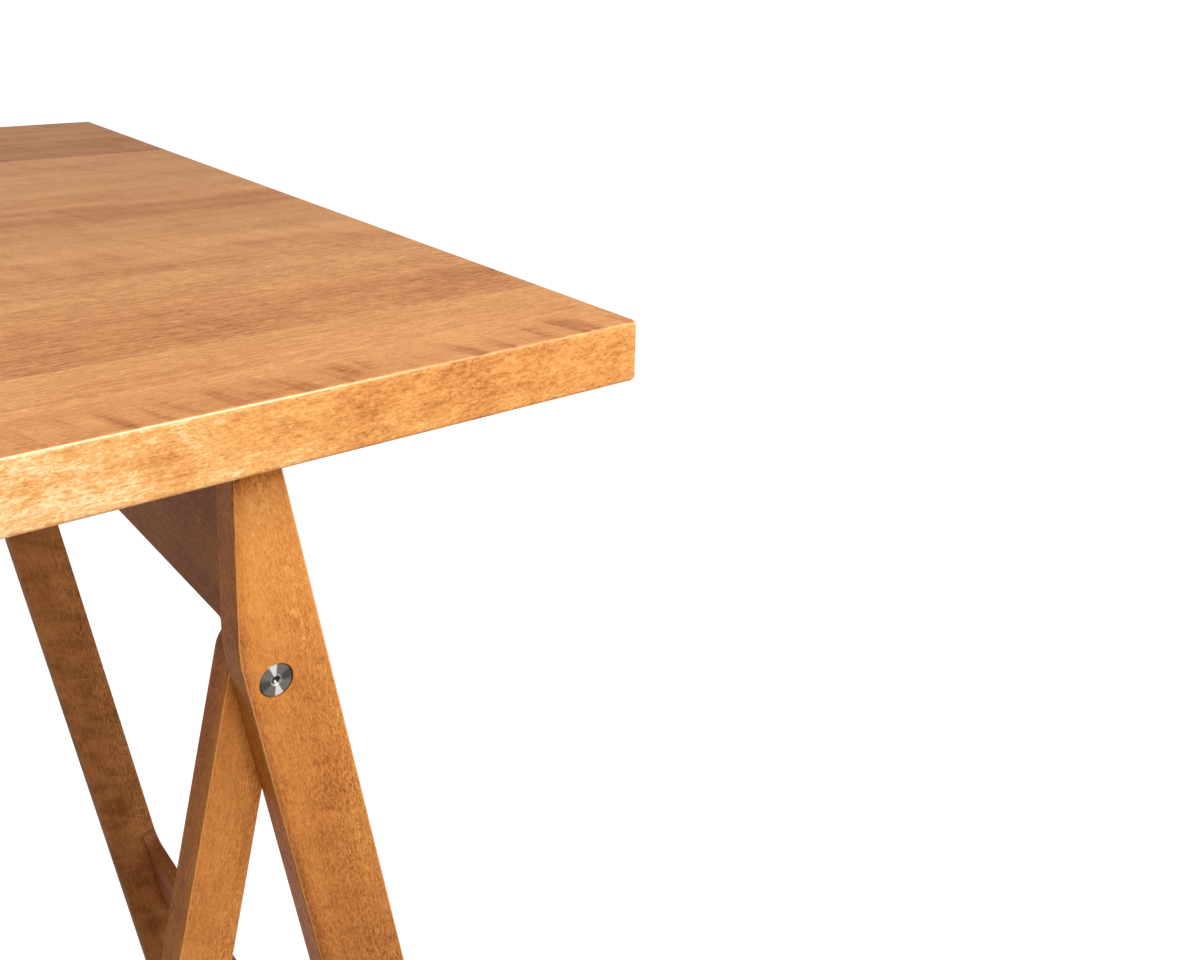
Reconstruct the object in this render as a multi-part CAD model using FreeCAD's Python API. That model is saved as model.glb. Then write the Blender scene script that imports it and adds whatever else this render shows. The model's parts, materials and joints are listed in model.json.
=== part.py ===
"""Sawbuck table: a solid top of edge-glued boards on two folding trestles.

Millimetres. The origin is on the floor under the middle of the top, X runs along the table's length, Y across its
width and Z up. Each trestle is an outer frame (two legs, a deep top rail and a low stretcher) fixed under the top,
and an inner frame (two narrower legs and a stretcher) that swings between the outer legs on sleeve nuts. Open, the
inner frame rests against its stop pins. Folded, it lies inside the depth of the outer frame, beside the stretcher.
The right-hand trestle is modelled, and the left-hand one is the same trestle turned half a turn.
"""
import FreeCAD, Part
import math
import os
from FreeCAD import Vector

# Tabletop
TABLE_LENGTH = 1500.0
TABLE_WIDTH = 700.0
TABLE_HEIGHT = 760.0
TOP_THICKNESS = 25.0
TOP_EDGE_RADIUS = 2.0      # every arris of the upper and lower face
TOP_CORNER_RADIUS = 4.0    # the four upright corners
BOARD_SHARES = (29.5, 38.5, 129.0, 55.0, 95.0, 176.0, 77.0, 100.0)  # of the width, from the near edge to the far one

# Trestle layout
LEG_LEAN = 11.8            # degrees from upright, outward at the foot for one frame and inward for the other
PIVOT_END_INSET = 125.0    # from the end of the top to the pivot axis
SIDE_OVERHANG = 76.4       # from the long edge of the top to the outer leg's outer face
LEG_THICKNESS = 17.0       # every leg, along Y
OUTER_LEG_WIDTH = 36.4
INNER_LEG_WIDTH = 25.2
LEG_EDGE_RADIUS = 1.2
KINK_RADIUS = 80.0         # where the outer leg's inner side turns from upright to leaning
HEAD_CLEARANCE = 13.1      # between the top rail and a round about the pivot, as wide as the inner leg
HEAD_RISE = 2.0            # from the pivot axis, along the inner leg, to the centre of its round head

# Top rail and stretchers
RAIL_DEPTH = 100.0
RAIL_THICKNESS = 13.8
RAIL_HAUNCH_RADIUS = 2.0
STRETCHER_DEPTH = 60.0
STRETCHER_FOOT_GAP = 82.0  # along the leg, from its foot to the stretcher's lower edge
STRETCHER_HAUNCH_RADIUS = 12.0
FOLD_CLEARANCE = 0.6       # between an inner and an outer piece that lie side by side when folded
TENON_LENGTH = 10.0
TENON_CLEARANCE = 0.1      # around and beyond each tenon, for glue
RAIL_TENON_THICKNESS = 6.0
RAIL_TENON_DEPTH = 60.0
STRETCHER_TENON_THICKNESS = 5.0
STRETCHER_TENON_DEPTH = 38.0

# Pivots
WASHER_THICKNESS = 0.8
WASHER_RADIUS = 9.0
SLEEVE_RADIUS = 4.0
SLEEVE_FIT = 0.05          # radial, between a sleeve nut and what it passes through
DISC_RADIUS = 7.2
DISC_THICKNESS = 2.0
DISC_RECESS = 0.4          # from the leg's face down to the disc
DISC_CLEARANCE = 0.2       # radial, around the disc in its counterbore
DISC_LIFT = 0.3            # between the inner leg and the screw's disc
DISC_CHAMFER = 0.25
SCREW_RADIUS = 2.5
SCREW_LENGTH = 14.0
SOCKET_ACROSS_FLATS = 2.9
SOCKET_DEPTH = 1.3
SOCKET_DISH_RADIUS = 2.4
SOCKET_DISH_DEPTH = 0.35
SLEEVE_BOTTOM = 1.0        # solid metal between the sleeve nut's socket side and its thread

# Stop pins
STOP_PIN_RADIUS = 2.0
STOP_PIN_REACH = 17.0      # from the pivot axis to the pin
STOP_PIN_SEAT = 10.0       # length held in the outer leg
STOP_PIN_THROW = 6.0       # length that stands in the inner leg's groove
STOP_GROOVE_CLEARANCE = 0.15
STOP_GROOVE_SPARE = 1.5    # degrees of groove past the folded position

# Top fastening
BRACKET_ARM = 25.0
BRACKET_WIDTH = 30.0
BRACKET_THICKNESS = 2.0
BRACKET_BEND_RADIUS = 2.0
BRACKET_Y = 120.0          # from the middle of the table to each bracket
BRACKET_SCREW_OFFSET = 15.0  # from the bracket's corner to each screw
WOOD_SCREW_RADIUS = 1.75
WOOD_SCREW_LENGTH = 11.0
WOOD_SCREW_HEAD_RADIUS = 3.5
WOOD_SCREW_HEAD_HEIGHT = 2.2
WOOD_SCREW_FIT = 0.02      # radial, in the wood
BRACKET_HOLE_FIT = 0.3     # radial, in the bracket

# Foot glides
GLIDE_RADIUS = 7.0
GLIDE_THICKNESS = 3.0
GLIDE_EDGE_CHAMFER = 0.6
GLIDE_NAIL_RADIUS = 1.2
GLIDE_NAIL_LENGTH = 12.0
GLIDE_NAIL_FIT = 0.02

# Worked out from the sizes above
LEAN = math.radians(LEG_LEAN)
FOLD_DEGREES = 2 * LEG_LEAN
UNDERSIDE = TABLE_HEIGHT - TOP_THICKNESS
RAIL_BOTTOM = UNDERSIDE - RAIL_DEPTH
PIVOT_X = TABLE_LENGTH / 2 - PIVOT_END_INSET
PIVOT_Z = RAIL_BOTTOM - HEAD_CLEARANCE - INNER_LEG_WIDTH / 2
PIVOT = Vector(PIVOT_X, 0, PIVOT_Z)
FOOT_Z = GLIDE_THICKNESS
OUTER_FRONT_Y = -TABLE_WIDTH / 2 + SIDE_OVERHANG
OUTER_BACK_Y = OUTER_FRONT_Y + LEG_THICKNESS
INNER_FRONT_Y = OUTER_BACK_Y + WASHER_THICKNESS
INNER_BACK_Y = INNER_FRONT_Y + LEG_THICKNESS
# Across the leaning legs, measured square to them from the pivot axis, + towards the table's end
HALF_INNER = INNER_LEG_WIDTH / 2
OUTER_SIDE = OUTER_LEG_WIDTH - HALF_INNER
STRETCHER_THICKNESS = OUTER_LEG_WIDTH - INNER_LEG_WIDTH - FOLD_CLEARANCE
LEG_REACH = (PIVOT_Z - FOOT_Z) / math.cos(LEAN)
STRETCHER_BOTTOM = -LEG_REACH + STRETCHER_FOOT_GAP
STRETCHER_TOP = STRETCHER_BOTTOM + STRETCHER_DEPTH
DISC_POCKET = DISC_RECESS + DISC_THICKNESS

UP = Vector(0, 0, 1)
ALONG_Y = Vector(0, 1, 0)
ORIGIN = Vector(0, 0, 0)


def box(x0, x1, y0, y1, z0, z1):
    """A block between two corners."""
    return Part.makeBox(x1 - x0, y1 - y0, z1 - z0, Vector(x0, y0, z0))


def rod(radius, length, start, direction):
    """A cylinder that runs from start along direction."""
    return Part.makeCylinder(radius, length, start, direction)


def leg_side_x(offset, z, way):
    """X of a leaning side at height z; offset is square to the leg, way is +1 for the outer frame, -1 for the inner."""
    return PIVOT_X + offset / math.cos(LEAN) + way * math.tan(LEAN) * (PIVOT_Z - z)


def leg_side_z(offset, x, way):
    """Height at which the same leaning side stands at x."""
    return PIVOT_Z - (x - PIVOT_X - offset / math.cos(LEAN)) / (way * math.tan(LEAN))


RAIL_OUTER_X = leg_side_x(OUTER_SIDE, UNDERSIDE, 1)
RAIL_INNER_X = RAIL_OUTER_X - RAIL_THICKNESS


def leaned(shape, way):
    """Turn a shape drawn upright about the pivot (x across the leg, z along it) into its frame's lean."""
    placed = shape.copy()
    placed.rotate(ORIGIN, ALONG_Y, -way * LEG_LEAN)
    placed.translate(PIVOT)
    return placed


def face_in_xz(edges, y):
    """A face from edges drawn in the XZ plane, moved to y."""
    face = Part.Face(Part.Wire(edges))
    face.translate(Vector(0, y, 0))
    return face


def outer_leg_blank():
    """The near outer leg: straight outer side, inner side upright down to a soft kink and leaning below it."""
    top_inner = Vector(RAIL_INNER_X, 0, UNDERSIDE)
    top_outer = Vector(RAIL_OUTER_X, 0, UNDERSIDE)
    foot_outer = Vector(leg_side_x(OUTER_SIDE, FOOT_Z, 1), 0, FOOT_Z)
    foot_inner = Vector(leg_side_x(-HALF_INNER, FOOT_Z, 1), 0, FOOT_Z)
    kink = Vector(RAIL_INNER_X, 0, leg_side_z(-HALF_INNER, RAIL_INNER_X, 1))
    down_leg = Vector(math.sin(LEAN), 0, -math.cos(LEAN))
    tangent = KINK_RADIUS * math.tan(LEAN / 2)
    bend_start = kink + UP * tangent
    bend_end = kink + down_leg * tangent
    bend_centre = bend_start + Vector(KINK_RADIUS, 0, 0)
    bend_middle = bend_centre + Vector(-math.cos(LEAN / 2), 0, -math.sin(LEAN / 2)) * KINK_RADIUS
    edges = [
        Part.makeLine(top_inner, bend_start),
        Part.Arc(bend_start, bend_middle, bend_end).toShape(),
        Part.makeLine(bend_end, foot_inner),
        Part.makeLine(foot_inner, foot_outer),
        Part.makeLine(foot_outer, top_outer),
        Part.makeLine(top_outer, top_inner),
    ]
    return face_in_xz(edges, OUTER_FRONT_Y).extrude(Vector(0, LEG_THICKNESS, 0))


def inner_leg_blank():
    """The near inner leg: two parallel sides, a half-round head just above the pivot and a level foot."""
    across = Vector(math.cos(LEAN), 0, -math.sin(LEAN)) * HALF_INNER
    along = Vector(math.sin(LEAN), 0, math.cos(LEAN))
    head = PIVOT + along * HEAD_RISE
    foot_left = Vector(leg_side_x(-HALF_INNER, FOOT_Z, -1), 0, FOOT_Z)
    foot_right = Vector(leg_side_x(HALF_INNER, FOOT_Z, -1), 0, FOOT_Z)
    edges = [
        Part.makeLine(foot_left, head - across),
        Part.Arc(head - across, head + along * HALF_INNER, head + across).toShape(),
        Part.makeLine(head + across, foot_right),
        Part.makeLine(foot_right, foot_left),
    ]
    return face_in_xz(edges, INNER_FRONT_Y).extrude(Vector(0, LEG_THICKNESS, 0))


def is_level(edge):
    """True for a level edge, such as those of a foot or of a leg's top end."""
    box_of_edge = edge.BoundBox
    return box_of_edge.ZLength < LEG_EDGE_RADIUS / 10


def round_face_edges(solid, y):
    """Round the outline of the face at y, all but its level edges."""
    edges = [e for e in solid.Edges if abs(e.BoundBox.YMin - y) + abs(e.BoundBox.YMax - y) < LEG_EDGE_RADIUS / 10]
    return solid.makeFillet(LEG_EDGE_RADIUS, [e for e in edges if not is_level(e)])


def haunched_board(x0, x1, z0, z1, half_length, radius, both_edges):
    """A board across the width whose ends swell along the legs: at its lower edge, or at both edges."""
    def corner(side_y, side_z, z):
        centre = Vector(x0, side_y * (half_length - radius), z + side_z * radius)
        on_leg = centre + Vector(0, side_y * radius, 0)
        on_edge = centre + Vector(0, 0, -side_z * radius)
        middle = centre + Vector(0, side_y, -side_z) * (radius / math.sqrt(2))
        return on_leg, middle, on_edge

    low = [corner(-1, -1, z0), corner(1, -1, z0)]
    high = [corner(-1, 1, z1), corner(1, 1, z1)]
    edges = [
        Part.Arc(low[0][0], low[0][1], low[0][2]).toShape(),
        Part.makeLine(low[0][2], low[1][2]),
        Part.Arc(low[1][2], low[1][1], low[1][0]).toShape(),
    ]
    if both_edges:
        edges += [
            Part.makeLine(low[1][0], high[1][0]),
            Part.Arc(high[1][0], high[1][1], high[1][2]).toShape(),
            Part.makeLine(high[1][2], high[0][2]),
            Part.Arc(high[0][2], high[0][1], high[0][0]).toShape(),
            Part.makeLine(high[0][0], low[0][0]),
        ]
    else:
        top_right = Vector(x0, half_length, z1)
        top_left = Vector(x0, -half_length, z1)
        edges += [
            Part.makeLine(low[1][0], top_right),
            Part.makeLine(top_right, top_left),
            Part.makeLine(top_left, low[0][0]),
        ]
    return Part.Face(Part.Wire(edges)).extrude(Vector(x1 - x0, 0, 0))


def tenon(x_middle, z_middle, thickness, depth, face_y, grow):
    """A tenon, or with grow its mortise, that enters the near leg through its inner face at face_y."""
    return box(
        x_middle - thickness / 2 - grow, x_middle + thickness / 2 + grow,
        face_y - TENON_LENGTH - grow, face_y,
        z_middle - depth / 2 - grow, z_middle + depth / 2 + grow,
    )


def both_sides(shape):
    """A near shape and its mirror image at the far side."""
    return [shape, shape.mirror(ORIGIN, ALONG_Y)]


def rail_tenon(grow):
    x_middle = (RAIL_INNER_X + RAIL_OUTER_X) / 2
    return tenon(x_middle, UNDERSIDE - RAIL_DEPTH / 2, RAIL_TENON_THICKNESS, RAIL_TENON_DEPTH, OUTER_BACK_Y, grow)


def stretcher_tenon(x_middle, face_y, way, grow):
    z_middle = (STRETCHER_BOTTOM + STRETCHER_TOP) / 2
    upright = tenon(x_middle, z_middle, STRETCHER_TENON_THICKNESS, STRETCHER_TENON_DEPTH, face_y, grow)
    return leaned(upright, way)


OUTER_STRETCHER_X = OUTER_SIDE - STRETCHER_THICKNESS / 2
INNER_STRETCHER_X = -HALF_INNER + STRETCHER_THICKNESS / 2


def top_rail():
    """The deep rail under the top, tenoned between the outer legs, with its bracket screw holes."""
    rail = haunched_board(
        RAIL_INNER_X, RAIL_OUTER_X, RAIL_BOTTOM, UNDERSIDE, -OUTER_BACK_Y, RAIL_HAUNCH_RADIUS, False)
    rail = rail.fuse(both_sides(rail_tenon(0)))
    return rail.cut(wood_screw_bores(rail_screw_places(), WOOD_SCREW_RADIUS + WOOD_SCREW_FIT)).removeSplitter()


def stretcher(x_middle, face_y, way):
    """A low board between two legs, on the outer side of its own frame."""
    board = haunched_board(
        x_middle - STRETCHER_THICKNESS / 2, x_middle + STRETCHER_THICKNESS / 2,
        STRETCHER_BOTTOM, STRETCHER_TOP, -face_y, STRETCHER_HAUNCH_RADIUS, True)
    return leaned(board, way).fuse(both_sides(stretcher_tenon(x_middle, face_y, way, 0))).removeSplitter()


def glide_places():
    """Middle of the near outer foot and of the near inner foot, on the floor side of the legs."""
    outer_x = leg_side_x((OUTER_SIDE - HALF_INNER) / 2, FOOT_Z, 1)
    inner_x = leg_side_x(0, FOOT_Z, -1)
    return (
        Vector(outer_x, OUTER_FRONT_Y + LEG_THICKNESS / 2, FOOT_Z),
        Vector(inner_x, INNER_FRONT_Y + LEG_THICKNESS / 2, FOOT_Z),
    )


def glide(place):
    """A nylon disc with a nail that goes up into the leg."""
    disc = rod(GLIDE_RADIUS, GLIDE_THICKNESS, place - UP * GLIDE_THICKNESS, UP)
    lower_rim = [e for e in disc.Edges if e.BoundBox.ZMax < place.z - GLIDE_THICKNESS / 2]
    disc = disc.makeChamfer(GLIDE_EDGE_CHAMFER, lower_rim)
    return disc.fuse(rod(GLIDE_NAIL_RADIUS, GLIDE_NAIL_LENGTH, place, UP))


def glide_bore(place):
    return rod(GLIDE_NAIL_RADIUS + GLIDE_NAIL_FIT, GLIDE_NAIL_LENGTH + GLIDE_NAIL_FIT, place, UP)


def pivot_bore(front_y, pocket_at_front):
    """The hole for the sleeve nut through one leg, with a counterbore for a disc at one face."""
    hole = rod(SLEEVE_RADIUS + SLEEVE_FIT, LEG_THICKNESS, Vector(PIVOT_X, front_y, PIVOT_Z), ALONG_Y)
    pocket_y = front_y if pocket_at_front else front_y + LEG_THICKNESS - DISC_POCKET
    pocket = rod(DISC_RADIUS + DISC_CLEARANCE, DISC_POCKET, Vector(PIVOT_X, pocket_y, PIVOT_Z), ALONG_Y)
    return hole.fuse(pocket)


def stop_pin_place(y):
    return Vector(PIVOT_X, y, PIVOT_Z - STOP_PIN_REACH)


def stop_pin():
    """Straight under the pivot, half in the outer leg and half in the inner leg's groove."""
    start = stop_pin_place(OUTER_BACK_Y - STOP_PIN_SEAT)
    return rod(STOP_PIN_RADIUS, STOP_PIN_SEAT + WASHER_THICKNESS + STOP_PIN_THROW, start, ALONG_Y)


def stop_groove():
    """The path of the stop pin in the inner leg, from the open position to just past the folded one."""
    depth = STOP_PIN_THROW + STOP_GROOVE_CLEARANCE
    radius = STOP_PIN_RADIUS + STOP_GROOVE_CLEARANCE
    turn = FOLD_DEGREES + STOP_GROOVE_SPARE
    axis_start = Vector(PIVOT_X, INNER_FRONT_Y, PIVOT_Z)
    inner_cylinder = rod(STOP_PIN_REACH - radius, depth, axis_start, ALONG_Y)
    outer_cylinder = rod(STOP_PIN_REACH + radius, depth, axis_start, ALONG_Y)
    reach = STOP_PIN_REACH + radius
    wedge = Part.makePolygon([
        ORIGIN,
        Vector(0, 0, -reach * 2),
        Vector(-reach * 2 * math.tan(math.radians(turn)), 0, -reach * 2),
        ORIGIN,
    ])
    sector = Part.Face(wedge).extrude(Vector(0, depth, 0))
    sector.translate(axis_start)
    start = rod(radius, depth, stop_pin_place(INNER_FRONT_Y), ALONG_Y)
    end = start.copy()
    end.rotate(axis_start, ALONG_Y, turn)
    return outer_cylinder.cut(inner_cylinder).common(sector).fuse([start, end])


def outer_leg():
    leg = round_face_edges(outer_leg_blank(), OUTER_FRONT_Y)
    pin_hole = rod(STOP_PIN_RADIUS, STOP_PIN_SEAT, stop_pin_place(OUTER_BACK_Y - STOP_PIN_SEAT), ALONG_Y)
    mortises = [rail_tenon(TENON_CLEARANCE), stretcher_tenon(OUTER_STRETCHER_X, OUTER_BACK_Y, 1, TENON_CLEARANCE)]
    return leg.cut(mortises + [pivot_bore(OUTER_FRONT_Y, True), pin_hole, glide_bore(glide_places()[0])])


def inner_leg():
    leg = round_face_edges(round_face_edges(inner_leg_blank(), INNER_FRONT_Y), INNER_BACK_Y)
    mortise = stretcher_tenon(INNER_STRETCHER_X, INNER_BACK_Y, -1, TENON_CLEARANCE)
    return leg.cut([mortise, pivot_bore(INNER_FRONT_Y, False), stop_groove(), glide_bore(glide_places()[1])])


def hex_socket(face_y, way):
    """A dished hexagonal socket in a disc whose outer face is at face_y; way is the direction into the metal."""
    inward = ALONG_Y * way
    centre = Vector(PIVOT_X, face_y, PIVOT_Z)
    corner_radius = SOCKET_ACROSS_FLATS / math.sqrt(3)
    corners = [
        centre + Vector(math.cos(math.radians(a)), 0, math.sin(math.radians(a))) * corner_radius
        for a in range(0, 361, 60)
    ]
    hexagon = Part.Face(Part.makePolygon(corners)).extrude(inward * SOCKET_DEPTH)
    dish = Part.makeCone(SOCKET_DISH_RADIUS, corner_radius, SOCKET_DISH_DEPTH, centre, inward)
    return hexagon.fuse(dish)


def disc(face_y, way):
    """A thin round head with a chamfered rim; face_y is its outer face, way points into the table."""
    start = Vector(PIVOT_X, face_y, PIVOT_Z)
    blank = rod(DISC_RADIUS, DISC_THICKNESS, start, ALONG_Y * way)
    rim = [e for e in blank.Edges if abs(e.BoundBox.YMin - face_y) + abs(e.BoundBox.YMax - face_y) < DISC_CHAMFER]
    return blank.makeChamfer(DISC_CHAMFER, rim)


DISC_FRONT_Y = OUTER_FRONT_Y + DISC_RECESS
SLEEVE_START_Y = OUTER_FRONT_Y + DISC_POCKET
SLEEVE_END_Y = INNER_BACK_Y - DISC_POCKET + DISC_LIFT
DISC_BACK_Y = SLEEVE_END_Y + DISC_THICKNESS


def pivot_sleeve():
    """The sleeve nut: a disc in the outer leg's face and a barrel through both legs, threaded from its far end."""
    barrel = rod(SLEEVE_RADIUS, SLEEVE_END_Y - SLEEVE_START_Y, Vector(PIVOT_X, SLEEVE_START_Y, PIVOT_Z), ALONG_Y)
    thread_start = Vector(PIVOT_X, SLEEVE_START_Y + SLEEVE_BOTTOM, PIVOT_Z)
    thread = rod(SCREW_RADIUS + SLEEVE_FIT, SLEEVE_END_Y - thread_start.y, thread_start, ALONG_Y)
    return disc(DISC_FRONT_Y, 1).cut(hex_socket(DISC_FRONT_Y, 1)).fuse(barrel).cut(thread)


def pivot_screw():
    """The machine screw that closes the sleeve nut from the inner leg's inner face."""
    shank = rod(SCREW_RADIUS, SCREW_LENGTH, Vector(PIVOT_X, SLEEVE_END_Y, PIVOT_Z), -ALONG_Y)
    return disc(DISC_BACK_Y, -1).cut(hex_socket(DISC_BACK_Y, -1)).fuse(shank)


def pivot_washer():
    start = Vector(PIVOT_X, OUTER_BACK_Y, PIVOT_Z)
    ring = rod(WASHER_RADIUS, WASHER_THICKNESS, start, ALONG_Y)
    return ring.cut(rod(SLEEVE_RADIUS + SLEEVE_FIT, WASHER_THICKNESS, start, ALONG_Y))


def rail_screw_places():
    """Where the bracket screws enter the rail's outer face: start point and direction into the wood."""
    z = UNDERSIDE - BRACKET_SCREW_OFFSET
    return [(Vector(RAIL_OUTER_X, side * BRACKET_Y, z), Vector(-1, 0, 0)) for side in (-1, 1)]


def top_screw_places():
    """Where the bracket screws enter the top's underside."""
    x = RAIL_OUTER_X + BRACKET_SCREW_OFFSET
    return [(Vector(x, side * BRACKET_Y, UNDERSIDE), UP) for side in (-1, 1)]


def wood_screw_bores(places, radius):
    return [rod(radius, WOOD_SCREW_LENGTH, start, direction) for start, direction in places]


def wood_screw(start, direction):
    """A pan-head screw through the bracket: start is where it enters the wood."""
    seat = start - direction * BRACKET_THICKNESS
    shank = rod(WOOD_SCREW_RADIUS, WOOD_SCREW_LENGTH + BRACKET_THICKNESS, seat, direction)
    head = Part.makeSphere(WOOD_SCREW_HEAD_RADIUS * 1.25, ORIGIN)
    sink = math.sqrt((WOOD_SCREW_HEAD_RADIUS * 1.25) ** 2 - WOOD_SCREW_HEAD_RADIUS ** 2)
    head.translate(seat + direction * sink)
    limit = rod(WOOD_SCREW_HEAD_RADIUS, WOOD_SCREW_HEAD_HEIGHT, seat, -direction)
    return shank.fuse(head.common(limit))


def top_bracket(side):
    """A bent steel angle in the corner between the rail's outer face and the underside of the top."""
    y0 = side * BRACKET_Y - BRACKET_WIDTH / 2
    y1 = side * BRACKET_Y + BRACKET_WIDTH / 2
    corner_x = RAIL_OUTER_X
    block = box(corner_x, corner_x + BRACKET_ARM, y0, y1, UNDERSIDE - BRACKET_ARM, UNDERSIDE)
    hollow = box(
        corner_x + BRACKET_THICKNESS, corner_x + BRACKET_ARM, y0, y1,
        UNDERSIDE - BRACKET_ARM, UNDERSIDE - BRACKET_THICKNESS)
    angle = block.cut(hollow)
    bend = [
        e for e in angle.Edges
        if abs(e.BoundBox.XMin - corner_x - BRACKET_THICKNESS) < WOOD_SCREW_FIT
        and abs(e.BoundBox.ZMin - UNDERSIDE + BRACKET_THICKNESS) < WOOD_SCREW_FIT
        and e.BoundBox.YLength > BRACKET_WIDTH / 2
    ]
    angle = angle.makeFillet(BRACKET_BEND_RADIUS, bend)
    holes = []
    for start, direction in rail_screw_places() + top_screw_places():
        holes.append(rod(
            WOOD_SCREW_RADIUS + BRACKET_HOLE_FIT, BRACKET_THICKNESS, start - direction * BRACKET_THICKNESS, direction))
    return angle.cut(holes)


def turned_half(shape):
    """The same piece at the left-hand trestle."""
    copy = shape.copy()
    copy.rotate(ORIGIN, UP, 180)
    return copy


def top_boards():
    """The top as one rounded slab, cut into its edge-glued boards; the bracket screws enter from below."""
    slab = box(
        -TABLE_LENGTH / 2, TABLE_LENGTH / 2, -TABLE_WIDTH / 2, TABLE_WIDTH / 2, UNDERSIDE, TABLE_HEIGHT)
    slab = slab.makeFillet(TOP_CORNER_RADIUS, [e for e in slab.Edges if not is_level(e)])
    slab = slab.makeFillet(TOP_EDGE_RADIUS, [e for e in slab.Edges if is_level(e)])
    right_bores = wood_screw_bores(top_screw_places(), WOOD_SCREW_RADIUS + WOOD_SCREW_FIT)
    slab = slab.cut(right_bores + [turned_half(bore) for bore in right_bores])
    boards = {}
    y0 = -TABLE_WIDTH / 2
    for number, share in enumerate(BOARD_SHARES, 1):
        width = TABLE_WIDTH * share / sum(BOARD_SHARES)
        strip = box(-TABLE_LENGTH / 2, TABLE_LENGTH / 2, y0, y0 + width, UNDERSIDE, TABLE_HEIGHT)
        boards["top_board_%d" % number] = [slab.common(strip)]
        y0 += width
    return boards


def trestle():
    """Every piece of the right-hand trestle, by name; a name may hold a group of equal solids."""
    outer_front, outer_back = both_sides(outer_leg())
    inner_front, inner_back = both_sides(inner_leg())
    outer_glide, inner_glide = [glide(place) for place in glide_places()]
    screws = [wood_screw(start, direction) for start, direction in rail_screw_places() + top_screw_places()]
    return {
        "outer_leg_front": [outer_front],
        "outer_leg_back": [outer_back],
        "top_rail": [top_rail()],
        "outer_stretcher": [stretcher(OUTER_STRETCHER_X, OUTER_BACK_Y, 1)],
        "inner_leg_front": [inner_front],
        "inner_leg_back": [inner_back],
        "inner_stretcher": [stretcher(INNER_STRETCHER_X, INNER_BACK_Y, -1)],
        "pivot_sleeves": both_sides(pivot_sleeve()),
        "pivot_screws": both_sides(pivot_screw()),
        "pivot_washers": both_sides(pivot_washer()),
        "stop_pins": both_sides(stop_pin()),
        "top_brackets": [top_bracket(-1), top_bracket(1)],
        "bracket_screws": screws,
        "outer_foot_glides": both_sides(outer_glide),
        "inner_foot_glides": both_sides(inner_glide),
    }


def other_side(name):
    """The name that a piece has after the half turn, which swaps front and back."""
    if name.endswith("_front"):
        return name[:-len("front")] + "back"
    if name.endswith("_back"):
        return name[:-len("back")] + "front"
    return name


def all_pieces():
    pieces = top_boards()
    for name, solids in trestle().items():
        pieces["right_" + name] = solids
        pieces["left_" + other_side(name)] = [turned_half(solid) for solid in solids]
    return pieces


def export(pieces):
    os.makedirs("parts", exist_ok=True)
    for name, shapes in pieces.items():
        solids = [solid for shape in shapes for solid in shape.Solids]
        whole = solids[0] if len(solids) == 1 else Part.makeCompound(solids)
        whole.exportStep("parts/%s.step" % name)
        print(name, len(solids), "valid" if whole.isValid() else "INVALID", round(whole.Volume))


export(all_pieces())
print("right pivot", PIVOT_X, 0, PIVOT_Z, "fold", FOLD_DEGREES)
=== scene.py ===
"""The looks of the sawbuck table: stained wood, turned steel and the studio around them. Metres."""
import json
import math
from collections import namedtuple
from types import SimpleNamespace

import bpy
from mathutils import Matrix, Vector

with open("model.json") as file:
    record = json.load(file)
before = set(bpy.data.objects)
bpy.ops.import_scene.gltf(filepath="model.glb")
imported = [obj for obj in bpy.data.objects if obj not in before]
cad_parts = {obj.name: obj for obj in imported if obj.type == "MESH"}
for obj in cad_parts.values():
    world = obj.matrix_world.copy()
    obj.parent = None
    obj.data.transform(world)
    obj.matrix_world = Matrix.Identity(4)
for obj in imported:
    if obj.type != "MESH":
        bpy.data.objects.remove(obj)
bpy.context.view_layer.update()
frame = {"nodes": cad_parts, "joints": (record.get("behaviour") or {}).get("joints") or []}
nodes = frame["nodes"]

# Camera: what the photograph's straight edges give for this table
CAMERA_PLACE = Vector((0.43191, -0.71183, 0.90270))
CAMERA_YAW = math.radians(39.256)     # to the right of +Y
CAMERA_PITCH = math.radians(10.901)   # downward
CAMERA_ROLL = math.radians(1.355)
CAMERA_LENS = 37.255                  # on a 36 mm wide sensor
CAMERA_SHIFT_Y = -0.2353

# Construction facts that the grain follows
right_fold = next(joint for joint in frame["joints"] if joint["name"] == "right_fold")
PIVOT_X, _, PIVOT_Z = right_fold["pos_m"]
LEG_LEAN = math.radians(right_fold["range_deg"][1] / 2)   # a fold swings a leg from one lean to the other
OUTER_LEG_HALF = 0.0182
INNER_LEG_HALF = 0.0126
OUTER_LEG_MIDDLE = OUTER_LEG_HALF - INNER_LEG_HALF        # across, from the pivot: folded legs line up inside
UPRIGHT_EDGE_X = min(vertex.co.x for vertex in nodes["right_top_rail"].data.vertices)
EDGE_SEAM_Y = -max(vertex.co.y for vertex in nodes["top_board_1"].data.vertices)

BLACK = (0.0, 0.0, 0.0, 1.0)
WHITE = (1.0, 1.0, 1.0, 1.0)
ORIGIN = (0.0, 0.0, 0.0)
NO_TURN = (0.0, 0.0, 0.0)
ALONG_Y = (0.0, 0.0, -math.pi / 2)


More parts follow.
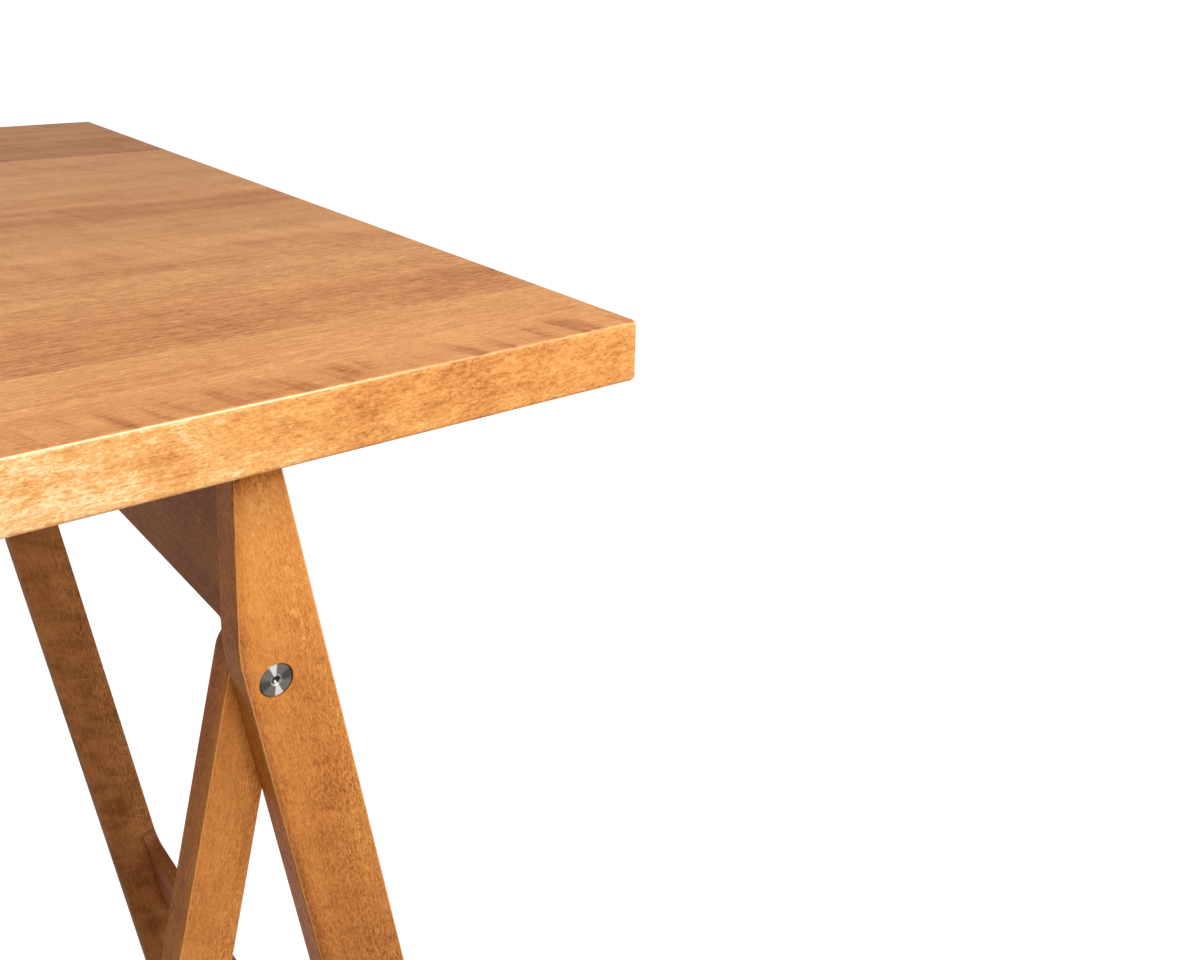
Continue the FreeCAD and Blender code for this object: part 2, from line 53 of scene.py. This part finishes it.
class Graph:
    """A short way to write a material's node tree."""

    def __init__(self, tree):
        self.tree = tree
        tree.nodes.clear()

    def add(self, kind, inputs=None, **settings):
        node = self.tree.nodes.new("ShaderNode" + kind)
        for key, value in settings.items():
            setattr(node, key, value)
        for key, value in (inputs or {}).items():
            self.put(node.inputs[key], value)
        return node

    def put(self, socket, value):
        if isinstance(value, bpy.types.NodeSocket):
            self.tree.links.new(value, socket)
        else:
            socket.default_value = value

    def math(self, operation, a, b=0.0):
        return self.add("Math", {0: a, 1: b}, operation=operation).outputs[0]

    def times(self, first, *others):
        for other in others:
            first = self.math("MULTIPLY", first, other)
        return first

    def add_up(self, first, *others):
        for other in others:
            first = self.math("ADD", first, other)
        return first

    def span(self, value, low, high, to_low=0.0, to_high=1.0, smooth=True):
        inputs = {"Value": value, "From Min": low, "From Max": high, "To Min": to_low, "To Max": to_high}
        kind = "SMOOTHSTEP" if smooth else "LINEAR"
        return self.add("MapRange", inputs, interpolation_type=kind, clamp=True).outputs[0]

    def mix(self, factor, a, b, blend="MIX"):
        node = self.add("Mix", data_type="RGBA", blend_type=blend, clamp_factor=True)
        self.put(node.inputs[0], factor)
        self.put(node.inputs[6], a)
        self.put(node.inputs[7], b)
        return node.outputs[2]

    def noise(self, vector, detail=2.0, roughness=0.5, distortion=0.0):
        inputs = {"Vector": vector, "Scale": 1.0, "Detail": detail, "Roughness": roughness}
        inputs["Distortion"] = distortion
        return self.add("TexNoise", inputs).outputs[0]

    def placed(self, vector, scale=(1.0, 1.0, 1.0), offset=ORIGIN, turn=NO_TURN):
        inputs = {"Vector": vector, "Location": offset, "Rotation": turn, "Scale": scale}
        return self.add("Mapping", inputs, vector_type="POINT").outputs[0]

    def rest(self):
        """The place in the table at rest: every piece has its origin at the table's."""
        return self.add("TexCoord").outputs["Object"]

    def surface(self, **inputs):
        """The principled shader as the material's surface; its inputs are named with _ for a space."""
        shader = self.add("BsdfPrincipled", {name.replace("_", " "): value for name, value in inputs.items()})
        self.add("OutputMaterial", {"Surface": shader.outputs[0]})


def new_material(name):
    material = bpy.data.materials.new(name)
    material.use_nodes = True
    return material, Graph(material.node_tree)


# ---- Wood ----

# Stains, linear: pore, deep, middle, light, cream
STAIN_STOPS = (0.02, 0.24, 0.50, 0.74, 1.0)
TOP_STAIN = ((0.17, 0.045, 0.010, 1.0), (0.38, 0.130, 0.040, 1.0), (0.62, 0.262, 0.088, 1.0),
             (0.80, 0.385, 0.138, 1.0), (0.97, 0.66, 0.33, 1.0))
EDGE_STAIN = ((0.17, 0.045, 0.010, 1.0), (0.40, 0.130, 0.032, 1.0), (0.65, 0.268, 0.072, 1.0),
              (0.83, 0.395, 0.125, 1.0), (1.00, 0.70, 0.38, 1.0))
FRAME_STAIN = ((0.16, 0.040, 0.010, 1.0), (0.41, 0.117, 0.026, 1.0), (0.71, 0.260, 0.056, 1.0),
               (0.87, 0.377, 0.095, 1.0), (1.00, 0.61, 0.24, 1.0))
# painted shade: the rail and in-shade stains are darker, greyer copies of the frame's, for the rails,
# stretchers and far leg
SHADED_RAIL_STAIN = ((0.13, 0.040, 0.008, 1.0), (0.35, 0.118, 0.016, 1.0), (0.66, 0.262, 0.040, 1.0),
              (0.84, 0.372, 0.095, 1.0), (1.00, 0.60, 0.22, 1.0))
IN_SHADE_STAIN = ((0.13, 0.042, 0.014, 1.0), (0.33, 0.115, 0.034, 1.0), (0.60, 0.245, 0.078, 1.0),
             (0.80, 0.360, 0.120, 1.0), (1.00, 0.60, 0.22, 1.0))
TOP_ARRIS_WEAR_AND_HIGHLIGHT = (1.0, 0.82, 0.56, 1.0)   # where the stain is rubbed thin, with a painted highlight
LEG_ARRIS_WEAR_AND_HIGHLIGHT = (1.0, 0.60, 0.26, 1.0)
# painted shade: the tint of a leg's side faces for their colour in shade
LEG_PAINTED_SIDE_TINT = (1.0, 1.02, 0.60, 1.0)

# Layers of noise: mm to a cell along and across the grain, where it starts, and the noise's own settings
Layer = namedtuple("Layer", "along across offset turn detail roughness distortion",
                   defaults=(ORIGIN, NO_TURN, 2.0, 0.5, 0.0))
BAND = Layer(420.0, 30.0, roughness=0.55)
CLOUD = Layer(55.0, 22.0, (9.0, 3.0, 4.0), detail=3.0)
STREAK = Layer(60.0, 2.4, (4.0, 1.0, 7.0), detail=3.0, roughness=0.6)
FIBRE = Layer(6.0, 0.8, (1.0, 6.0, 2.0), roughness=0.7, distortion=0.3)
PEBBLE = Layer(1.7, 0.9, (3.0, 2.0, 8.0), detail=4.0, roughness=0.72, distortion=0.5)
CURL = Layer(8.0, 60.0, (-3.0, 1.0, 3.0), (0.0, 0.0, -0.30), distortion=0.5)
CURLY_AREA = Layer(70.0, 60.0, (6.0, 9.0, 2.0), detail=1.0)
RIPPLE = Layer(11.0, 34.0, (4.0, 4.0, 9.0), (0.0, -0.55, 0.0), detail=3.0, roughness=0.6, distortion=0.8)
STRIPE_EDGE = Layer(30.0, 14.0, (2.0, 8.0, 5.0), detail=1.0)
STRIPE_GAPS = Layer(70.0, 16.0, (8.0, 8.0, 8.0))
SCRIBBLE = Layer(2.8, 0.8, (6.0, 2.0, 2.0), detail=3.0, roughness=0.75, distortion=1.2)
SCRIBBLE_CROWD = Layer(45.0, 20.0, (1.0, 1.0, 9.0))
FLECK = Layer(2.6, 1.3, (5.0, 5.0, 1.0), (0.0, 0.08, 0.0), detail=4.0, roughness=0.75, distortion=0.8)
EDGE_PATCH = Layer(16.0, 9.0, (2.0, 7.0, 6.0), detail=3.0)
PORE = Layer(4.0, 0.5, (2.0, 4.0, 6.0), detail=1.0, roughness=0.6)
RELIEF = Layer(7.0, 0.5, (1.0, 6.0, 2.0), roughness=0.6)

BAND_STRENGTH = 0.3
SCRIBBLE_STRENGTH = 1.6
PATCH_SHARE = 0.6            # of the flecks' strength
STRIPE_WAVE = 0.006          # how far a stripe's edge wanders
MARGIN_WIDTH = 0.007
CURL_STARTS = 0.0015         # the curly marks of an edge board grow from here to here, from its seam outward
CURL_FULL = 0.0155
RELIEF_DEPTH = 0.0001

# What a piece of wood shows unless its own looks say otherwise. Strengths are steps of the stain's depth, which
# is 0 where it is darkest and 1 where palest. The first two rows are for any piece, the third for legs, with
# the light and shade painted on their faces, the last for boards.
PLAIN_WOOD = dict(
    stain=FRAME_STAIN, tone=0.0, cloud=0.3, streak=0.2, fibre=0.5, pebble=0.5, curl=0.0, ripple=0.0,
    arris=0.3, pores=0.6, gloss=0.09,
    rise=(), sides=0.0, side_tint=WHITE, section=None, margin=0.0,
    stripes=(), edge_faces=0.0,
)


class Grain:
    """The texture space of one piece of wood. turn brings the grain onto X; seed picks the piece of wood."""

    def __init__(self, g, seed, turn):
        self.g = g
        self.turn = turn
        coordinates = g.add("TexCoord")
        rest = coordinates.outputs["Object"]
        self.rest = g.add("SeparateXYZ", {0: rest}).outputs
        self.normal = g.add("SeparateXYZ", {0: coordinates.outputs["Normal"]}).outputs
        self.place = g.placed(g.placed(rest, turn=turn), offset=(seed * 0.371, seed * 0.213, seed * 0.157))

    def noise(self, layer):
        scale = (1000.0 / layer.along, 1000.0 / layer.across, 1000.0 / layer.across)
        vector = self.place
        if any(layer.turn):
            vector = self.g.placed(vector, turn=layer.turn)
        vector = self.g.placed(vector, scale, layer.offset)
        return self.g.noise(vector, layer.detail, layer.roughness, layer.distortion)

    def centred(self, layer, strength):
        """Noise about zero."""
        return self.g.times(self.g.math("SUBTRACT", self.noise(layer), 0.5), strength)

    def facing(self, axis, strength=1.0):
        """The strength on faces square to an axis, and 0 on the others."""
        return self.g.span(self.g.math("ABSOLUTE", self.normal[axis]), 0.4, 0.8, 0.0, strength)

    def from_leg_middle(self, middle):
        """Distance across a leg from its middle, itself given from the pivot axis."""
        g = self.g
        mirrored = g.times(g.math("SIGN", self.rest["X"]), PIVOT_X)
        x = g.math("SUBTRACT", self.rest["X"], mirrored)
        z = g.math("SUBTRACT", self.rest["Z"], PIVOT_Z)
        lean = self.turn[1] - math.pi / 2
        from_pivot = g.add_up(g.times(x, math.cos(lean)), g.times(z, math.sin(lean)))
        return g.math("SUBTRACT", from_pivot, middle)


def ground(grain, looks):
    """Bands along the grain, clouds of stain, streaks, short fibres and the pebbled ground."""
    return grain.g.add_up(
        0.5 + looks.tone,
        grain.centred(BAND, BAND_STRENGTH),
        grain.centred(CLOUD, looks.cloud),
        grain.centred(STREAK, looks.streak),
        grain.centred(FIBRE, looks.fibre),
        grain.centred(PEBBLE, looks.pebble),
    )


def curl_marks(grain, looks):
    """Curly figure: soft dark marks across the grain, on the faces where the board was cut flat."""
    g = grain.g
    curly = g.span(grain.noise(CURLY_AREA), 0.32, 0.46)
    marks = g.times(g.span(grain.noise(CURL), 0.44, 0.70, 0.0, -looks.curl), curly)
    if looks.edge_faces:
        out = g.math("ABSOLUTE", grain.rest["Y"])
        from_seam = g.span(out, EDGE_SEAM_Y + CURL_STARTS, EDGE_SEAM_Y + CURL_FULL)
        marks = g.times(marks, g.times(grain.facing("Z"), from_seam))
    return marks


def ripples(grain, strength):
    """Slanted waves, light and dark."""
    return grain.g.span(grain.noise(RIPPLE), 0.36, 0.66, strength, -strength)


def paint_light_up_face(grain, steps):
    """Painted light and shade up a leg's broad faces: a positive step paints the face paler upward, as lamp
    light falls on it; a negative step paints the tabletop's shadow under it. A step has a lower height, an
    upper height and a size.
    """
    g = grain.g
    rise = g.add_up(0.0, *(g.span(grain.rest["Z"], low, high, 0.0, size) for low, high, size in steps))
    return g.times(grain.facing("Y"), rise)


def stripe(grain, low, high, soft, strength):
    """A stripe along a board between two widths across the table, with uneven soft edges."""
    g = grain.g
    y = g.add_up(grain.rest["Y"], g.times(grain.centred(STRIPE_EDGE, 1.0), STRIPE_WAVE))
    inside = g.times(g.span(y, low - soft, low + soft), g.span(y, high + soft, high - soft))
    uneven = g.span(grain.noise(STRIPE_GAPS), 0.3, 0.62, 0.35, 1.0)
    return g.times(inside, uneven, strength)


def scribbles(grain, section):
    """Scribbles of dark stain and bare wood, crowded towards the outer edge of a leg."""
    g = grain.g
    middle, half = section
    near_edge = g.span(grain.from_leg_middle(middle), half * -0.5, half * 0.7, 0.15, 1.0)
    crowded = g.span(grain.noise(SCRIBBLE_CROWD), 0.34, 0.60, 0.35, 1.0)
    return g.times(near_edge, crowded, grain.centred(SCRIBBLE, SCRIBBLE_STRENGTH))


def inner_margin(grain, section, strength):
    """A dark margin on a leg's broad faces along its inner edge. Above an outer leg's kink that is upright."""
    g = grain.g
    middle, half = section
    from_edge = g.add_up(g.times(grain.from_leg_middle(middle), math.copysign(1.0, half)), abs(half))
    if middle:
        from_upright = g.math("SUBTRACT", g.math("ABSOLUTE", grain.rest["X"]), UPRIGHT_EDGE_X)
        from_edge = g.math("MINIMUM", from_edge, from_upright)
    return g.times(grain.facing("Y"), g.span(from_edge, 0.0, MARGIN_WIDTH, -strength, 0.0))


def edge_figure(grain, strength):
    """A long edge shows the board quarter-sawn: mottled and flecked, with a painted sheen that makes it paler
    beside the right-hand trestle.
    """
    g = grain.g
    flecks = grain.centred(FLECK, strength)
    patches = grain.centred(EDGE_PATCH, strength * PATCH_SHARE)
    # painted sheen: the edge paler beside the right-hand trestle
    painted_sheen = g.times(g.span(grain.rest["X"], 0.49, 0.68, 0.33, 0.0), g.span(grain.rest["X"], 0.20, 0.47))
    return g.times(grain.facing("Y"), g.add_up(flecks, patches, painted_sheen))


def stain_depth(grain, looks):
    """All figure of a piece of wood together, with the light and shade painted on legs, rails and long edges,
    as the depth of its stain.
    """
    g = grain.g
    depth = ground(grain, looks)
    if looks.curl:
        depth = g.add_up(depth, curl_marks(grain, looks))
    if looks.ripple:
        depth = g.add_up(depth, ripples(grain, looks.ripple))
    # painted light up a leg's broad faces, and painted shade on its side faces
    if looks.rise:
        depth = g.add_up(depth, paint_light_up_face(grain, looks.rise), grain.facing("X", looks.sides))
    for low, high, soft, strength in looks.stripes:
        depth = g.add_up(depth, stripe(grain, low, high, soft, strength))
    if looks.section:
        depth = g.add_up(depth, scribbles(grain, looks.section))
    if looks.margin:
        depth = g.add_up(depth, inner_margin(grain, looks.section, looks.margin))
    if looks.edge_faces:
        depth = g.add_up(depth, edge_figure(grain, looks.edge_faces))
    return depth


def stained(g, depth, stain):
    """The colour of the stain at a depth from 0 to 1."""
    ramp = g.add("ValToRGB", {0: depth})
    stops = ramp.color_ramp.elements
    stops[0].position, stops[0].color = STAIN_STOPS[0], stain[0]
    stops[1].position, stops[1].color = STAIN_STOPS[-1], stain[-1]
    for position, colour in list(zip(STAIN_STOPS, stain))[1:-1]:
        stop = stops.new(position)
        stop.color = colour
    return ramp.outputs[0]


def rub_and_highlight_arrises(grain, looks, colour):
    """The arrises pale, as stain rubbed thin and as a painted highlight: in the middle of a board's, beside the
    face of a leg's. On a board the painted highlight lies on the upper arris only and fades towards the
    right-hand end.
    """
    g = grain.g
    y_share = g.times(grain.normal["Y"], grain.normal["Y"])
    if looks.edge_faces:
        eased = g.span(g.times(y_share, g.math("SUBTRACT", 1.0, y_share)), 0.19, 0.25, 0.0, looks.arris)
        upper = g.span(grain.normal["Z"], 0.0, 0.3)
        # painted highlight, fading towards the right-hand end
        highlight_fade = g.span(grain.rest["X"], 0.59, 0.66, 1.0, 0.35)
        return g.mix(g.times(eased, upper, highlight_fade), colour, TOP_ARRIS_WEAR_AND_HIGHLIGHT)
    eased = g.times(g.span(y_share, 0.98, 0.84, 0.0, looks.arris), g.span(y_share, 0.45, 0.70))
    return g.mix(eased, colour, LEG_ARRIS_WEAR_AND_HIGHLIGHT)


def wood(name, seed, turn=NO_TURN, **own_looks):
    """Stained and lacquered wood, with open pores: short dark dashes."""
    looks = SimpleNamespace(**{**PLAIN_WOOD, **own_looks})
    material, g = new_material(name)
    grain = Grain(g, seed, turn)
    depth = stain_depth(grain, looks)
    colour = stained(g, depth, looks.stain)
    if looks.edge_faces:
        colour = g.mix(grain.facing("Y"), colour, stained(g, depth, EDGE_STAIN))
    # painted shade: side faces tinted to their colour in shade
    if looks.side_tint != WHITE:
        colour = g.mix(grain.facing("X"), colour, looks.side_tint, "MULTIPLY")
    colour = g.mix(g.span(grain.noise(PORE), 0.66, 0.76, 0.0, looks.pores), colour, looks.stain[0])
    # rubbed stain and a painted highlight along the arrises
    colour = rub_and_highlight_arrises(grain, looks, colour)
    roughness = g.span(depth, 0.2, 0.8, 0.56, 0.46, smooth=False)
    relief = {"Strength": 0.25, "Distance": RELIEF_DEPTH, "Height": grain.noise(RELIEF)}
    bump = g.add("Bump", relief).outputs[0]
    g.surface(Base_Color=colour, Roughness=roughness, Normal=bump, Specular_IOR_Level=looks.gloss)
    return material


# ---- Fittings ----

WEDGE_LEAN = math.radians(10.0)   # of the painted light wedge on a turned disc, from upright
SOCKET_HIGHLIGHT_RADIUS = 0.0023       # the painted highlight on the rim of the socket's dish
RING_SCALE = 5200.0               # of the lathe's rings, per metre of radius
# Tints of the painted reflection, from its dark parts to its bright ones
STEEL_WARM = (1.0, 0.91, 0.78, 1.0)
STEEL_COOL = (1.0, 0.99, 0.98, 1.0)
ZINC_DARK = (0.36, 0.37, 0.38, 1.0)
ZINC_LIGHT = (0.55, 0.55, 0.54, 1.0)
ZINC_SCALE = (420.0, 420.0, 420.0)
NYLON_DARK = (0.045, 0.028, 0.018, 1.0)
NYLON_LIGHT = (0.075, 0.048, 0.032, 1.0)
NYLON_SCALE = (900.0, 900.0, 900.0)


def turned_steel():
    """Faced on a lathe: fine rings, and a reflection painted into the colour: the bow-tie of light that such
    rings throw, a painted highlight on the rim of the socket's dish and painted shade in its centre.
    """
    material, g = new_material("turned_steel")
    rest = g.add("SeparateXYZ", {0: g.rest()}).outputs
    x = g.math("SUBTRACT", g.math("ABSOLUTE", rest["X"]), PIVOT_X)
    x = g.times(x, g.math("SIGN", rest["X"]))
    z = g.math("SUBTRACT", rest["Z"], PIVOT_Z)
    square = g.add_up(g.times(x, x), g.times(z, z))
    radius = g.math("SQRT", square)
    lean = g.add_up(g.times(x, -math.sin(WEDGE_LEAN)), g.times(z, math.cos(WEDGE_LEAN)))
    bow = g.math("DIVIDE", g.times(lean, lean), g.add_up(square, 1e-9))
    rings = {"W": radius, "Scale": RING_SCALE, "Detail": 2.0}
    rings = g.add("TexNoise", rings, noise_dimensions="1D").outputs[0]

    # painted reflection: the bow-tie's bright wedges, dim sides, the dish rim's highlight and painted shade in
    # the centre
    painted_reflection = g.add_up(g.span(bow, 0.90, 0.965, 0.0, 0.55), g.span(bow, 0.02, 0.30, 0.07, 0.17))
    painted_reflection = g.times(painted_reflection, g.span(rings, 0.25, 0.75, 0.82, 1.12))
    from_socket_highlight = g.math("ABSOLUTE", g.math("SUBTRACT", radius, SOCKET_HIGHLIGHT_RADIUS))
    painted_reflection = g.add_up(painted_reflection, g.span(from_socket_highlight, 0.00008, 0.00022, 0.28, 0.0))
    painted_reflection = g.times(painted_reflection, g.span(radius, 0.0007, 0.0011, 0.25, 1.0))
    colour = g.mix(painted_reflection, BLACK, g.mix(g.span(painted_reflection, 0.10, 0.55), STEEL_WARM, STEEL_COOL))
    roughness = g.span(rings, 0.3, 0.7, 0.24, 0.34)
    tangent = g.add("Tangent", direction_type="RADIAL", axis="Y").outputs[0]
    g.surface(Base_Color=colour, Metallic=1.0, Roughness=roughness, Anisotropic=0.6, Tangent=tangent)
    return material


def plated_steel():
    """Zinc plate: a faint crystalline mottle."""
    material, g = new_material("plated_steel")
    mottle = g.noise(g.placed(g.rest(), ZINC_SCALE), detail=3.0, roughness=0.6)
    colour = g.mix(g.span(mottle, 0.3, 0.7), ZINC_DARK, ZINC_LIGHT)
    g.surface(Base_Color=colour, Metallic=1.0, Roughness=g.span(mottle, 0.3, 0.7, 0.34, 0.48))
    return material


def brown_nylon():
    material, g = new_material("brown_nylon")
    speckle = g.noise(g.placed(g.rest(), NYLON_SCALE))
    colour = g.mix(g.span(speckle, 0.3, 0.7), NYLON_DARK, NYLON_LIGHT)
    bump = g.add("Bump", {"Strength": 0.3, "Distance": RELIEF_DEPTH, "Height": speckle}).outputs[0]
    g.surface(Base_Color=colour, Roughness=0.55, Normal=bump)
    return material


# ---- What each piece wears ----

# One row per board, from the near long edge to the far one. A stripe has two places across the table, the
# softness of its edges and a step of tone.
BOARD_SEED = 3.0
BOARDS = (
    dict(tone=0.02, curl=0.25, edge_faces=1.0, arris=0.68),
    dict(tone=0.065, streak=0.36, fibre=0.75),
    dict(tone=0.00, curl=0.05, streak=0.34, fibre=0.90,
         stripes=((-0.278, -0.238, 0.014, -0.12), (-0.228, -0.170, 0.012, 0.07))),
    dict(tone=0.08, curl=0.10, cloud=0.4, stripes=((-0.153, -0.130, 0.008, 0.05),)),
    dict(tone=0.07, curl=0.05, stripes=((-0.050, -0.003, 0.010, -0.16),)),
    dict(tone=0.06, curl=0.05, stripes=((0.040, 0.125, 0.014, 0.04),)),
    dict(tone=-0.12, curl=0.10),
    dict(tone=-0.05, curl=0.10, edge_faces=0.6, arris=0.5),
)

FRAME_SEED = 40.0
FRAME_SEED_STEP = 1.7
# Steps of painted light and shade up the broad faces: lower height, upper height, size. The near leg's negative
# steps are the tabletop's painted shadow just under it.
LEG_PAINTED_LIGHT = ((0.60, 0.72, 0.14),)
NEAR_LEG_PAINTED_LIGHT_AND_SHADOW = ((0.45, 0.67, 0.155), (0.60, 0.70, 0.14), (0.69, 0.735, -0.10), (0.691, 0.703, -0.30))
# painted shade: a leg's side faces are darker and tinted, as in shade
LEG_LOOKS = dict(tone=-0.05, fibre=0.46, pebble=0.75, ripple=0.03, rise=LEG_PAINTED_LIGHT, sides=-0.05,
                 side_tint=LEG_PAINTED_SIDE_TINT, arris=0.45, pores=0.15, gloss=0.14)
LEG_MARGINS = {"outer": 0.19, "inner": 0.06}
# The legs that the photograph shows
SEEN_LEGS = {
    # painted light, and the tabletop's painted shadow at the near leg's top
    "right_outer_leg_front": dict(tone=-0.095, rise=NEAR_LEG_PAINTED_LIGHT_AND_SHADOW),
    "right_inner_leg_front": dict(tone=-0.045),
    # painted shade: the far leg is darker and greyer, as in the tabletop's shadow
    "right_outer_leg_back": dict(stain=IN_SHADE_STAIN, tone=-0.10, cloud=0.50, pebble=0.3, ripple=0.06,
                                 sides=-0.10, margin=0.0, arris=0.15, gloss=0.02),
}
# painted shade: rails and stretchers are darkened, as in shade under the table
SHADED_RAIL_LOOKS = dict(tone=-0.27, arris=0.1, pores=0.15, gloss=0.10)
RAIL_STAINS = {"top_rail": SHADED_RAIL_STAIN, "outer_stretcher": IN_SHADE_STAIN, "inner_stretcher": IN_SHADE_STAIN}


def dress(node_name, material):
    data = nodes[node_name].data
    data.materials.clear()
    data.materials.append(material)


def dress_top():
    for number, looks in enumerate(BOARDS, 1):
        name = "top_board_%d" % number
        dress(name, wood("wood_" + name, BOARD_SEED * number, stain=TOP_STAIN, **looks))


def dress_leg(name, kind, way, seed):
    """way is 1 at the table's right-hand end and -1 at its left-hand end."""
    if kind == "outer":
        lean, section = way * LEG_LEAN, (OUTER_LEG_MIDDLE * way, OUTER_LEG_HALF * way)
    else:
        lean, section = -way * LEG_LEAN, (0.0, INNER_LEG_HALF * way)
    looks = {**LEG_LOOKS, "section": section, "margin": LEG_MARGINS[kind], **SEEN_LEGS.get(name, {})}
    dress(name, wood("wood_" + name, seed, (0.0, math.pi / 2 + lean, 0.0), **looks))


def dress_frames():
    seed = FRAME_SEED
    for side, way in (("right", 1), ("left", -1)):
        for kind in ("outer", "inner"):
            for end in ("front", "back"):
                dress_leg("%s_%s_leg_%s" % (side, kind, end), kind, way, seed)
                seed += FRAME_SEED_STEP
        for piece, stain in RAIL_STAINS.items():
            name = side + "_" + piece
            dress(name, wood("wood_" + name, seed, ALONG_Y, stain=stain, **SHADED_RAIL_LOOKS))
            seed += FRAME_SEED_STEP


def dress_fittings():
    turned = turned_steel()
    plated = plated_steel()
    nylon = brown_nylon()
    for side in ("right", "left"):
        for piece in ("pivot_sleeves", "pivot_screws", "pivot_washers", "stop_pins"):
            dress(side + "_" + piece, turned)
        for piece in ("top_brackets", "bracket_screws"):
            dress(side + "_" + piece, plated)
        for piece in ("outer_foot_glides", "inner_foot_glides"):
            dress(side + "_" + piece, nylon)


# ---- Studio ----

AMBIENT = 0.12
FLOOR_REACH = 60.0
PAPER_SCALE = (60.0, 60.0, 60.0)
FLOOR_GLOW_SHARE = 0.5
FLOOR_GLOW_NEAR = 1.8   # the lamps make up the rest of white round the object
FLOOR_GLOW_FAR = 2.05   # paper that the world lights alone
FLOOR_NEAR = 1.2
FLOOR_FAR = 3.5

# Name, place, target, width, height, watts: two soft fronts, an overhead box and weak fills round the rest
LAMPS = (
    ("front", (0.60, -0.85, 1.05), (0.62, -0.27, 0.68), 0.30, 0.25, 3.3),
    ("front_right", (1.05, -0.72, 0.85), (0.62, -0.27, 0.66), 0.30, 0.25, 1.7),
    ("overhead", (0.60, -0.30, 2.10), (0.45, -0.10, 0.75), 0.80, 0.80, 9.9),
    ("back", (0.30, 2.00, 0.70), (0.10, 0.00, 0.50), 1.20, 0.60, 7.0),
    ("right_end", (2.20, 0.00, 0.70), (0.70, 0.00, 0.50), 0.80, 0.60, 4.0),
    ("left_front", (-0.90, -1.40, 0.90), (-0.70, 0.00, 0.50), 0.60, 0.50, 1.5),
    ("left_end", (-1.90, 0.20, 0.70), (-0.70, 0.00, 0.50), 0.80, 0.60, 1.5),
)


def seen_directly(g):
    """1 for camera, glossy and transmission rays, 0 for the rays that carry the scene's light."""
    path = g.add("LightPath").outputs
    seen = g.math("MAXIMUM", path["Is Camera Ray"], path["Is Glossy Ray"])
    return g.math("MAXIMUM", seen, path["Is Transmission Ray"])


def add_object(name, data):
    made = bpy.data.objects.new(name, data)
    bpy.context.scene.collection.objects.link(made)
    return made


def studio_world():
    world = bpy.data.worlds.new("studio")
    bpy.context.scene.world = world
    world.use_nodes = True
    g = Graph(world.node_tree)
    dim = g.add("Background", {"Color": WHITE, "Strength": AMBIENT})
    white = g.add("Background", {"Color": WHITE, "Strength": 1.0})
    mixed = g.add("MixShader", {0: seen_directly(g), 1: dim.outputs[0], 2: white.outputs[0]})
    g.add("OutputWorld", {"Surface": mixed.outputs[0]})


def floor_paper():
    """Matt paper that looks white to the camera and still takes the table's shadow."""
    material, g = new_material("floor_paper")
    rest = g.rest()
    tooth = g.span(g.noise(g.placed(rest, PAPER_SCALE), detail=3.0), 0.3, 0.7, 0.78, 0.82)
    paper = g.add("BsdfDiffuse", {"Color": g.mix(tooth, BLACK, WHITE)})
    away = g.add("VectorMath", {0: rest}, operation="LENGTH").outputs["Value"]
    strength = g.span(away, FLOOR_NEAR, FLOOR_FAR, FLOOR_GLOW_NEAR, FLOOR_GLOW_FAR)
    glow = g.add("Emission", {"Color": WHITE, "Strength": strength})
    share = g.times(seen_directly(g), FLOOR_GLOW_SHARE)
    mixed = g.add("MixShader", {0: share, 1: paper.outputs[0], 2: glow.outputs[0]})
    g.add("OutputMaterial", {"Surface": mixed.outputs[0]})
    return material


def studio_floor():
    data = bpy.data.meshes.new("floor")
    corners = [(x * FLOOR_REACH, y * FLOOR_REACH, 0.0) for x, y in ((-1, -1), (1, -1), (1, 1), (-1, 1))]
    data.from_pydata(corners, [], [(0, 1, 2, 3)])
    data.materials.append(floor_paper())
    add_object("floor", data)


def area_light(name, place, target, width, height, power):
    data = bpy.data.lights.new(name, "AREA")
    data.shape = "RECTANGLE"
    data.size = width
    data.size_y = height
    data.energy = power
    lamp = add_object(name, data)
    lamp.visible_camera = False
    lamp.location = place
    lamp.rotation_euler = (Vector(target) - Vector(place)).to_track_quat("-Z", "Y").to_euler()


def camera():
    data = bpy.data.cameras.new("camera")
    data.sensor_width = 36.0
    data.lens = CAMERA_LENS
    data.shift_y = CAMERA_SHIFT_Y
    data.clip_start = 0.01
    eye = add_object("camera", data)
    turn = (Matrix.Rotation(-CAMERA_YAW, 4, "Z") @ Matrix.Rotation(math.pi / 2 - CAMERA_PITCH, 4, "X")
            @ Matrix.Rotation(CAMERA_ROLL, 4, "Z"))
    eye.matrix_world = Matrix.Translation(CAMERA_PLACE) @ turn
    bpy.context.scene.camera = eye


dress_top()
dress_frames()
dress_fittings()
studio_world()
studio_floor()
for lamp in LAMPS:
    area_light(*lamp)
camera()
bpy.context.scene.view_settings.view_transform = "Standard"
